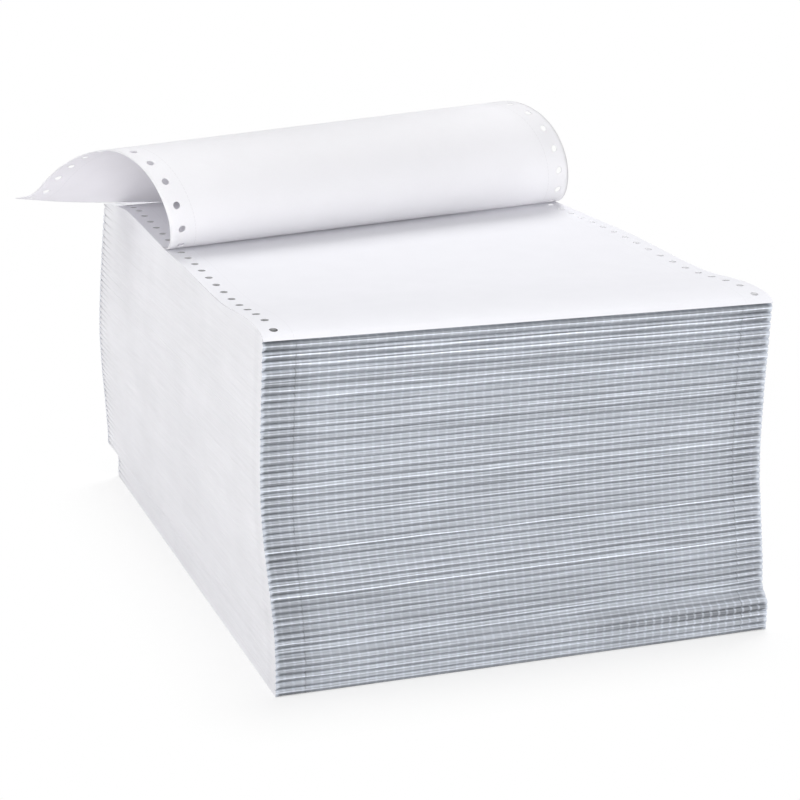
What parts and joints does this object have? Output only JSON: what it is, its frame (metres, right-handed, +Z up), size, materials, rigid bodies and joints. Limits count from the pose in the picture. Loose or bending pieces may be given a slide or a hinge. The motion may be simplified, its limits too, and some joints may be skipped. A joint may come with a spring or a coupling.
{
  "type": "stack of continuous form paper",
  "caption": "Tall stack of fan-folded continuous form paper with punched margins, its top leaf turned back on itself in an open curl.",
  "frame": {"origin": "centre of the lowest leaf, on the surface the stack rests on", "axes": "+Z up, +Y from the front folds to the rear folds, +X to the right seen from the front"},
  "size_m": [0.3053, 0.3506, 0.2174],
  "materials": {
    "paper": "matt, uncoated, white with a faint cool tint"
  },
  "bodies": {
    "root": {"form_pile": "paper"}
  },
  "joints": []
}
